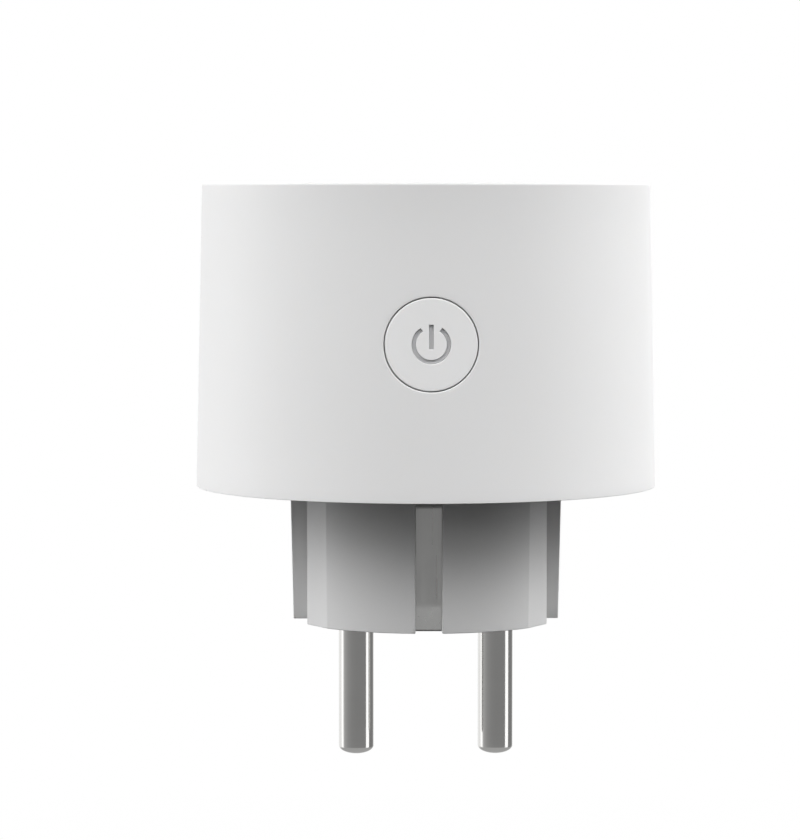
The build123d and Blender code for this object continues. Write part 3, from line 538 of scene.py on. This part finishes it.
def build_button():
    """Cap whose face follows the wall, with a rounded rim, a retaining flange and a pierced symbol."""
    cap = bmesh.new()
    face = CAP_RADIUS - CAP_EDGE
    levels = [(0.0, None, 0.0)] + [(r, None, 0.0) for r in np.linspace(0, face, 25)[1:]]
    levels += [
        (face + CAP_EDGE * sin(a), None, CAP_EDGE * (1 - cos(a))) for a in np.linspace(0, pi / 2, 6)[1:]
    ]
    levels += [(CAP_RADIUS, CAP_SHOULDER, 0), (CAP_FLANGE, CAP_SHOULDER, 0), (CAP_FLANGE, CAP_BACK, 0)]
    levels += [(CAP_CAVITY, CAP_BACK, 0), (CAP_CAVITY, CAP_FACE_BACK, 0), (0.0, CAP_FACE_BACK, 0)]
    button_rings(cap, levels)
    cutter = bmesh.new()
    add_symbol(cutter, [
        (0.0, CAP_FACE_BACK + SYMBOL_CUT_START, 0), (0.0, None, SYMBOL_CHAMFER),
        (3 * SYMBOL_CHAMFER, None, -2 * SYMBOL_CHAMFER),
    ])
    pierced = boolean(cap, cutter, "DIFFERENCE")
    finish_piece(pierced, "button", finishes["white_button"], "button", ["button_cap"])
    guide = bmesh.new()
    button_rings(guide, [
        (0.0, GUIDE_BACK, 0), (GUIDE_RADIUS, GUIDE_BACK, 0), (GUIDE_RADIUS, GUIDE_FRONT, 0),
        (0.0, GUIDE_FRONT, 0),
    ])
    add_symbol(guide, [
        (-SYMBOL_GAP_SIDE, GUIDE_FRONT + SYMBOL_ROOT, 0),
        (-SYMBOL_GAP_SIDE, None, SYMBOL_DEPTH + SYMBOL_ROUND),
        (-3 * SYMBOL_GAP_SIDE, None, SYMBOL_DEPTH),
    ])
    finish_piece(guide, "power_symbol", finishes["icon_grey"], "button", ["icon_diffuser"])


# ------------------------------------------------------------------ plug body and cover
FLAT_CORNER = 0.12 * MM
FIN_CORNER = 0.15 * MM
SLOT_CORNER = 0.22 * MM
PLUG_EDGE = 0.12 * MM
PLUG_FLOOR = 3.2 * MM
CAVITY_RADIUS = 15.2 * MM
CAVITY_HALF = 14.2 * MM
PIN_GROOVE = 2.55 * MM
PIN_GROOVE_DEPTH = 0.3 * MM
SHANK_RADIUS = 2.15 * MM
COVER_EDGE = 0.15 * MM
COVER_BOSS = 3.9 * MM
SCREW_HOLE = 1.35 * MM
POST_RADIUS = 1.7 * MM
POST_TOP = 20.8 * MM
POST_PLACES = [(0.0, 20.0 * MM), (-10.5 * MM, -18.5 * MM), (10.5 * MM, -18.5 * MM)]
CLAMP_POST_RADIUS = 2.2 * MM
CLAMP_POST_TOP = 4.7 * MM
CLAMP_PLACES = [(-6.5 * MM, -9.5 * MM), (6.5 * MM, -9.5 * MM)]
PLUG_ROWS = [1.2 * MM, 2.6 * MM, SLOT_KNEE_Z, SLOT_KNEE_Z + 0.05 * MM, 9 * MM, 13.5 * MM]
HOLE_CHAMFER = 0.05 * MM
EARTH_EDGE, EARTH_LIP = 0.15 * MM, 0.04 * MM
FACET_FALL = 0.48
LEAST_FACET_STEP = 0.004 * MM


def plug_radius(z):
    """Outer radius of the tapered plug at height z."""
    return PLUG_FACE_RADIUS + z / BODY_BOTTOM * (PLUG_TOP_RADIUS - PLUG_FACE_RADIUS)


def plug_quarter(z):
    """Corners (x, y, fillet) of a quarter of the plug's outline, from the fin to the earth slot."""
    radius = plug_radius(z)
    step = max((radius - hypot(FACET_X, FACET_Y)) * FACET_FALL, LEAST_FACET_STEP)
    brink_x, brink_y = FACET_X + step, FACET_Y + 2 * step
    start, stop = atan2(brink_y, brink_x), atan2(sqrt(radius ** 2 - SLOT_HALF ** 2), SLOT_HALF)
    floor = SLOT_FLOOR if z > SLOT_KNEE_Z else SLOT_FOOT + z / SLOT_KNEE_Z * (SLOT_FLOOR - SLOT_FOOT)
    corners = [
        (radius, 0.0, 0.0),
        (sqrt(radius ** 2 - FIN_HALF ** 2), FIN_HALF, FIN_CORNER),
        (FLAT_X, FIN_HALF, FIN_CORNER),
        (FLAT_X, FACET_END_Y, FLAT_CORNER),
        (FACET_X, FACET_Y, 0.0),
    ]
    corners += [(radius * cos(a), radius * sin(a), 0.0) for a in np.linspace(start, stop, 20)[:-1]]
    corners += [(radius * cos(stop), radius * sin(stop), SLOT_CORNER), (SLOT_HALF, floor, FIN_CORNER)]
    return corners + [(0.0, floor, 0.0)]


def rounded(corners, steps=4):
    """Closed outline with each corner of a given fillet turned into a short arc."""
    points = []
    count = len(corners)
    for k, (x, y, fillet) in enumerate(corners):
        here = Vector((x, y))
        if fillet == 0.0:
            points.append(here)
            continue
        before = Vector(corners[k - 1][:2]) - here
        after = Vector(corners[(k + 1) % count][:2]) - here
        half = before.angle(after) / 2
        reach = min(fillet / max(abs(sin(half) / cos(half)), 0.05), 0.45 * min(before.length, after.length))
        start, stop = here + before.normalized() * reach, here + after.normalized() * reach
        for share in np.linspace(0, 1, steps + 1):
            points.append(start.lerp(here, share).lerp(here.lerp(stop, share), share))
    return points


def plug_outline(z, inset=0.0):
    """Whole outline of the plug at height z, drawn in by an inset."""
    quarter = plug_quarter(z)
    half = quarter + [(-x, y, f) for x, y, f in reversed(quarter[:-1])]
    points = rounded(half + [(x, -y, f) for x, y, f in reversed(half[1:-1])])
    if inset == 0.0:
        return points
    drawn = []
    for k, point in enumerate(points):
        way = (points[(k + 1) % len(points)] - points[k - 1]).normalized()
        drawn.append(point + Vector((-way.y, way.x)) * inset)
    return drawn


def cavity_outline():
    """Outline of the plug's hollow: a circle with its two sides cut flat."""
    limit = atan2(sqrt(CAVITY_RADIUS ** 2 - CAVITY_HALF ** 2), CAVITY_HALF)
    upper = [(CAVITY_RADIUS * cos(a), CAVITY_RADIUS * sin(a)) for a in np.linspace(limit, pi - limit, 48)]
    return upper + [(-x, -y) for x, y in upper]


def add_recess(bm, place):
    """Boss with a screw recess below; returns its rings in the cover's underside and top face."""
    floor = BODY_BOTTOM + SCREW_DEPTH
    rings = lathe(bm, [
        (SCREW_RECESS + COVER_EDGE, BODY_BOTTOM), (SCREW_RECESS, BODY_BOTTOM + COVER_EDGE),
        (SCREW_RECESS, floor), (SCREW_HOLE, floor), (SCREW_HOLE, BOSS_FOOT), (COVER_BOSS, BOSS_FOOT),
        (COVER_BOSS, COVER_TOP),
    ], 56, place, closed=False)
    return rings[0], rings[-1]


def build_plug():
    """Plug body with its flats, fins, slots and holes, in one piece with the round cover."""
    bm = bmesh.new()
    levels = [(PLUG_EDGE * (1 - cos(a)), PLUG_EDGE * (1 - sin(a))) for a in np.linspace(0, pi / 2, 4)]
    heights = [(z, inset) for z, inset in levels]
    heights += [(z, 0.0) for z in PLUG_ROWS + [BODY_BOTTOM]]
    rings = [
        [bm.verts.new((point.x, point.y, z)) for point in plug_outline(z, inset)] for z, inset in heights
    ]
    for first, second in zip(rings, rings[1:]):
        join_rings(bm, first, second)
    hole_walls = []
    for x in (-PIN_X, PIN_X):
        hole_walls.append(lathe(bm, [
            (PIN_GROOVE + HOLE_CHAMFER, 0.0), (PIN_GROOVE, HOLE_CHAMFER), (PIN_GROOVE, PIN_GROOVE_DEPTH),
            (SHANK_RADIUS, PIN_GROOVE_DEPTH), (SHANK_RADIUS, PLUG_FLOOR),
        ], 72, (x, 0.0), closed=False))
    hole_walls.append(lathe(bm, [
        (EARTH_RADIUS + EARTH_EDGE, 0.0), (EARTH_RADIUS + EARTH_LIP, EARTH_LIP), (EARTH_RADIUS, EARTH_EDGE),
        (EARTH_RADIUS, PLUG_FLOOR),
    ], 72, (0.0, EARTH_Y), closed=False))
    cavity = [[bm.verts.new((x, y, z)) for x, y in cavity_outline()] for z in (PLUG_FLOOR, COVER_TOP)]
    join_rings(bm, *cavity)
    cover = lathe(bm, [
        (COVER_RADIUS - COVER_EDGE, BODY_BOTTOM), (COVER_RADIUS, BODY_BOTTOM + COVER_EDGE),
        (COVER_RADIUS, COVER_TOP),
    ], 240, closed=False)
    recesses = [add_recess(bm, place) for place in BOSS_PLACES]
    fill_between(bm, [rings[0]] + [wall[0] for wall in hole_walls])
    fill_between(bm, [cavity[0]] + [wall[-1] for wall in hole_walls])
    fill_between(bm, [rings[-1], cover[0]] + [low for low, high in recesses])
    fill_between(bm, [cavity[1], cover[-1]] + [high for low, high in recesses])
    for x, y in POST_PLACES:
        lathe(bm, [
            (0, COVER_TOP), (POST_RADIUS, COVER_TOP), (POST_RADIUS, POST_TOP), (0, POST_TOP),
        ], 32, (x, y), False)
    for x, y in CLAMP_PLACES:
        lathe(bm, [
            (0, PLUG_FLOOR), (CLAMP_POST_RADIUS, PLUG_FLOOR), (CLAMP_POST_RADIUS, CLAMP_POST_TOP),
            (0, CLAMP_POST_TOP),
        ], 32, (x, y), False)
    piece = finish_piece(bm, "plug_body", finishes["white_base"], "housing", ["plug_base"])
    weigh_normals(piece)


def weigh_normals(piece):
    """Let the broad flat faces set the shading of the narrow rounds beside them."""
    modifier = piece.modifiers.new("even_shading", "WEIGHTED_NORMAL")
    modifier.keep_sharp = True


# ------------------------------------------------------------------ pins
PIN_DOME = 1.1 * MM
COLLAR_RADIUS = 3.4 * MM
COLLAR_TOP = 4.7 * MM
SHANK_TOP = 17.5 * MM
STUD_RADIUS = 1.0 * MM
STUD_TOP = 22.3 * MM


def build_pin(x, node):
    """Turned pin with an elliptical dome, its shank, collar and solder stud."""
    shoulder = PIN_END_Z + PIN_DOME
    profile = [
        (PIN_RADIUS * sin(a), shoulder - PIN_DOME * cos(a)) for a in np.linspace(0, pi / 2, 17)
    ]
    profile += [(PIN_RADIUS, z) for z in np.linspace(shoulder, 0, 6)[1:]]
    profile += [
        (SHANK_RADIUS, 0.0), (SHANK_RADIUS, PLUG_FLOOR), (COLLAR_RADIUS, PLUG_FLOOR),
        (COLLAR_RADIUS, COLLAR_TOP), (SHANK_RADIUS, COLLAR_TOP), (SHANK_RADIUS, SHANK_TOP),
        (STUD_RADIUS, SHANK_TOP), (STUD_RADIUS, STUD_TOP), (0.0, STUD_TOP),
    ]
    bm = bmesh.new()
    lathe(bm, profile, 96, (x, 0.0), closed=False)
    finish_piece(bm, node + "_turned", finishes["nickel_pin"], "housing", [node])


# ------------------------------------------------------------------ earth straps
STRAP_BEND_LOW, STRAP_BEND_HIGH = 15.0 * MM, 17.5 * MM
STRAP_LIFT = 0.6 * MM
STRAP_FILL = 1.045


def build_strap(node):
    """Earth strap that fills its slot's width, with its upper bend close under the cover."""
    mesh = frame["nodes"][node].data.copy()
    for vertex in mesh.vertices:
        vertex.co.x *= STRAP_FILL
        if STRAP_BEND_LOW < vertex.co.z < STRAP_BEND_HIGH:
            vertex.co.z += STRAP_LIFT
    mesh.materials.clear()
    piece = place_mesh(mesh, node + "_bent", finishes["nickel_strap"], "housing", [node])
    soften(piece, BEVELS[node])


# ------------------------------------------------------------------ carried-over parts
BEVELS = {
    "earth_strap_front": 0.09, "earth_strap_rear": 0.09, "earth_clip_front": 0.06, "earth_clip_rear": 0.06,
    "safety_shutter": 0.08,
}


def soften(node, width):
    """Smooth shading on a carried-over part, with narrow bevels where its edges catch the light."""
    node.data.shade_smooth()
    node.data.set_sharp_from_angle(angle=SHARP_ANGLE)
    if width:
        bevel = node.modifiers.new("edge_round", "BEVEL")
        bevel.width = width * MM
        bevel.segments = 3
        bevel.limit_method = "ANGLE"
        bevel.angle_limit = BEVEL_ANGLE
        bevel.harden_normals = True


build_shell()
build_button()
build_plug()
build_pin(-PIN_X, "live_pin")
build_pin(PIN_X, "neutral_pin")
build_strap("earth_strap_front")
build_strap("earth_strap_rear")
for name, node in frame["nodes"].items():
    soften(node, BEVELS.get(name, 0.0))


# ------------------------------------------------------------------ studio
HORIZON = [
    (-180, 1.3), (-125, 1.3), (-117, 1.1), (-114, 1.8), (-96, 1.8), (-92, 0.76), (-78, 0.52), (-55, 0.40),
    (-28, 0.34), (0, 0.32), (66, 0.32), (70, 1.9), (90, 1.9), (94, 0.36), (105, 0.29), (130, 0.31),
    (146, 0.5), (153, 1.3), (180, 1.3),
]
OVERHEAD_SHEEN = 1.0
GROUND_SHEEN = 0.55
SOFTBOXES = {
    "left_rear": (-114, 10, 36, 2.3),
    "left_side": (-80, 34, 30, 1.6),
    "left_high": (-64, 50, 36, 2.3),
    "front_left": (-44, 24, 35, 1.35),
    "front_high": (4, 58, 36, 1.6),
    "front_right": (30, 30, 28, 1.0),
    "right_high": (72, 54, 36, 3.9),
    "right_low": (82, 24, 28, 2.0),
    "right_rear": (132, 20, 38, 3.6),
    "rear": (180, 30, 60, 0.3),
    "ground": (0, -90, 62, 0.06),
}
AMBIENT = 0.02
OVERHEAD_FROM, OVERHEAD_FULL = 15, 40
GROUND_FULL, GROUND_FROM = -35, -12
CORE_SHARE = 0.4
RAMP_SCALE = 2.0
FLOOR_Z = -0.9
FLOOR_PROFILE = [(0.0, 0.0), (1.0, 0.0), (3.0, 0.0), (4.0, 0.2)]
FLOOR_GRAIN = 2.0
SCRIM_Z = BODY_TOP + 4.2 * MM
SCRIM_RADIUS = 33.0 * MM
SCRIM_PASS = (0.50, 0.56)
SCRIM_GRAIN = 40.0
CAMERA_PLACE = Vector((-11.21, -489.82, 58.42)) * MM
CAMERA_TURN = 0.0157
CAMERA_DIP = 0.0639
CAMERA_LENS = 154.53
CAMERA_SENSOR = 36.0


def add_math(tree, operation, first, second=None):
    """Math node on links or numbers."""
    node = tree.nodes.new("ShaderNodeMath")
    node.operation = operation
    for socket, value in zip(node.inputs, (first, second)):
        if isinstance(value, (int, float)):
            socket.default_value = value
        elif value is not None:
            tree.links.new(value, socket)
    return node.outputs[0]


def blend(tree, share, first, second):
    """First level where the share is 0 and second where it is 1."""
    node = tree.nodes.new("ShaderNodeMix")
    tree.links.new(share, node.inputs["Factor"])
    for socket, value in ((node.inputs["A"], first), (node.inputs["B"], second)):
        if isinstance(value, float):
            socket.default_value = value
        else:
            tree.links.new(value, socket)
    return node.outputs["Result"]


def softbox(tree, place, bearing, elevation, spread, level):
    """Round soft light in the surround, centred on a bearing and an elevation in degrees."""
    level_arm = cos(radians(elevation))
    product = tree.nodes.new("ShaderNodeVectorMath")
    product.operation = "DOT_PRODUCT"
    product.inputs[1].default_value = (
        sin(radians(bearing)) * level_arm, -cos(radians(bearing)) * level_arm, sin(radians(elevation)),
    )
    tree.links.new(place, product.inputs[0])
    node = tree.nodes.new("ShaderNodeMapRange")
    node.interpolation_type = "SMOOTHSTEP"
    node.inputs["From Min"].default_value = cos(radians(spread))
    node.inputs["From Max"].default_value = cos(radians(spread * CORE_SHARE))
    node.inputs["To Max"].default_value = level
    tree.links.new(product.outputs["Value"], node.inputs["Value"])
    return node.outputs["Result"]


def bearing_ramp(tree, bearing, stops):
    """Brightness by bearing, from (degrees, level) stops on a circle."""
    node = tree.nodes.new("ShaderNodeValToRGB")
    while len(node.color_ramp.elements) < len(stops):
        node.color_ramp.elements.new(0.5)
    for element, (degrees, level) in zip(node.color_ramp.elements, stops):
        element.position = degrees / 360 + 0.5
        element.color = (*[level / RAMP_SCALE] * 3, 1)
    tree.links.new(bearing, node.inputs["Fac"])
    return add_math(tree, "MULTIPLY", node.outputs["Color"], RAMP_SCALE)


def steps_of(tree, height, low, high, first, last):
    """Smooth step of the sine of elevation between two elevations in degrees."""
    node = tree.nodes.new("ShaderNodeMapRange")
    node.interpolation_type = "SMOOTHSTEP"
    node.inputs["From Min"].default_value = sin(radians(low))
    node.inputs["From Max"].default_value = sin(radians(high))
    node.inputs["To Min"].default_value = first
    node.inputs["To Max"].default_value = last
    tree.links.new(height, node.inputs["Value"])
    return node.outputs["Result"]


def build_world():
    """White surround as the camera sees it; a soft ring of light for everything else."""
    world = bpy.data.worlds.new("studio")
    bpy.context.scene.world = world
    world.use_nodes = True
    tree = world.node_tree
    tree.nodes.clear()
    output = tree.nodes.new("ShaderNodeOutputWorld")
    place = tree.nodes.new("ShaderNodeTexCoord").outputs["Generated"]
    split = tree.nodes.new("ShaderNodeSeparateXYZ")
    tree.links.new(place, split.inputs[0])
    x, y, z = split.outputs
    bearing = add_math(tree, "ARCTAN2", x, add_math(tree, "MULTIPLY", y, -1.0))
    share = add_math(tree, "ADD", add_math(tree, "DIVIDE", bearing, tau), 0.5)
    sheen = bearing_ramp(tree, share, HORIZON)
    sheen = blend(tree, steps_of(tree, z, OVERHEAD_FROM, OVERHEAD_FULL, 0.0, 1.0), sheen, OVERHEAD_SHEEN)
    sheen = blend(tree, steps_of(tree, z, GROUND_FULL, GROUND_FROM, 1.0, 0.0), sheen, GROUND_SHEEN)
    fill = AMBIENT
    for box in SOFTBOXES.values():
        fill = add_math(tree, "ADD", softbox(tree, place, *box), fill)
    rays = tree.nodes.new("ShaderNodeLightPath")
    glow = tree.nodes.new("ShaderNodeBackground")
    tree.links.new(blend(tree, rays.outputs["Is Glossy Ray"], fill, sheen), glow.inputs["Strength"])
    plain = tree.nodes.new("ShaderNodeBackground")
    plain.inputs["Color"].default_value = (1, 1, 1, 1)
    mix = tree.nodes.new("ShaderNodeMixShader")
    tree.links.new(rays.outputs["Is Camera Ray"], mix.inputs["Fac"])
    tree.links.new(glow.outputs[0], mix.inputs[1])
    tree.links.new(plain.outputs[0], mix.inputs[2])
    tree.links.new(mix.outputs[0], output.inputs["Surface"])


def build_floor():
    """Wide white sweep far below the plug; it only shows, and sheds no light on the object."""
    material, tree, shader, place = new_material("white_sweep")
    shader.inputs["Base Color"].default_value = (0, 0, 0, 1)
    shader.inputs["Specular IOR Level"].default_value = 0.0
    tone = mix_colours(tree, noise(tree, place, FLOOR_GRAIN), (0.996, 0.996, 0.996), (1.0, 1.0, 1.0))
    tree.links.new(tone, shader.inputs["Emission Color"])
    shader.inputs["Emission Strength"].default_value = 1.0
    bm = bmesh.new()
    lathe(bm, [(radius, FLOOR_Z + rise) for radius, rise in FLOOR_PROFILE], 64, closed=False)
    mesh = bpy.data.meshes.new("floor")
    bm.to_mesh(mesh)
    bm.free()
    floor = bpy.data.objects.new("floor", mesh)
    bpy.context.scene.collection.objects.link(floor)
    mesh.materials.append(material)
    for ray in ("diffuse", "glossy", "transmission", "shadow"):
        setattr(floor, "visible_" + ray, False)


def build_scrim():
    """Thin grey scrim over the socket mouth; it tones the light on the upper faces and doesn't show."""
    material = bpy.data.materials.new("grey_scrim")
    material.use_nodes = True
    tree = material.node_tree
    tree.nodes.clear()
    output = tree.nodes.new("ShaderNodeOutputMaterial")
    sheer = tree.nodes.new("ShaderNodeBsdfTransparent")
    place = tree.nodes.new("ShaderNodeTexCoord").outputs["Object"]
    low, high = SCRIM_PASS
    weave = mix_colours(tree, noise(tree, place, SCRIM_GRAIN), (low, low, low), (high, high, high))
    tree.links.new(weave, sheer.inputs["Color"])
    tree.links.new(sheer.outputs[0], output.inputs["Surface"])
    bm = bmesh.new()
    lathe(bm, [(0.0, SCRIM_Z), (SCRIM_RADIUS, SCRIM_Z)], 64, closed=False)
    mesh = bpy.data.meshes.new("scrim")
    bm.to_mesh(mesh)
    bm.free()
    scrim = bpy.data.objects.new("scrim", mesh)
    bpy.context.scene.collection.objects.link(scrim)
    mesh.materials.append(material)
    for ray in ("camera", "glossy"):
        setattr(scrim, "visible_" + ray, False)


def build_camera():
    """Long lens a little above the plug, looking slightly down at the button side."""
    data = bpy.data.cameras.new("camera")
    data.lens = CAMERA_LENS
    data.sensor_width = CAMERA_SENSOR
    data.clip_start = 0.01
    camera = bpy.data.objects.new("camera", data)
    bpy.context.scene.collection.objects.link(camera)
    level = cos(CAMERA_DIP)
    ahead = Vector((sin(CAMERA_TURN) * level, cos(CAMERA_TURN) * level, -sin(CAMERA_DIP)))
    turn = ahead.to_track_quat("-Z", "Y").to_matrix().to_4x4()
    camera.matrix_world = Matrix.Translation(CAMERA_PLACE) @ turn
    bpy.context.scene.camera = camera


build_world()
build_floor()
build_scrim()
build_camera()
bpy.context.scene.view_settings.view_transform = "Standard"
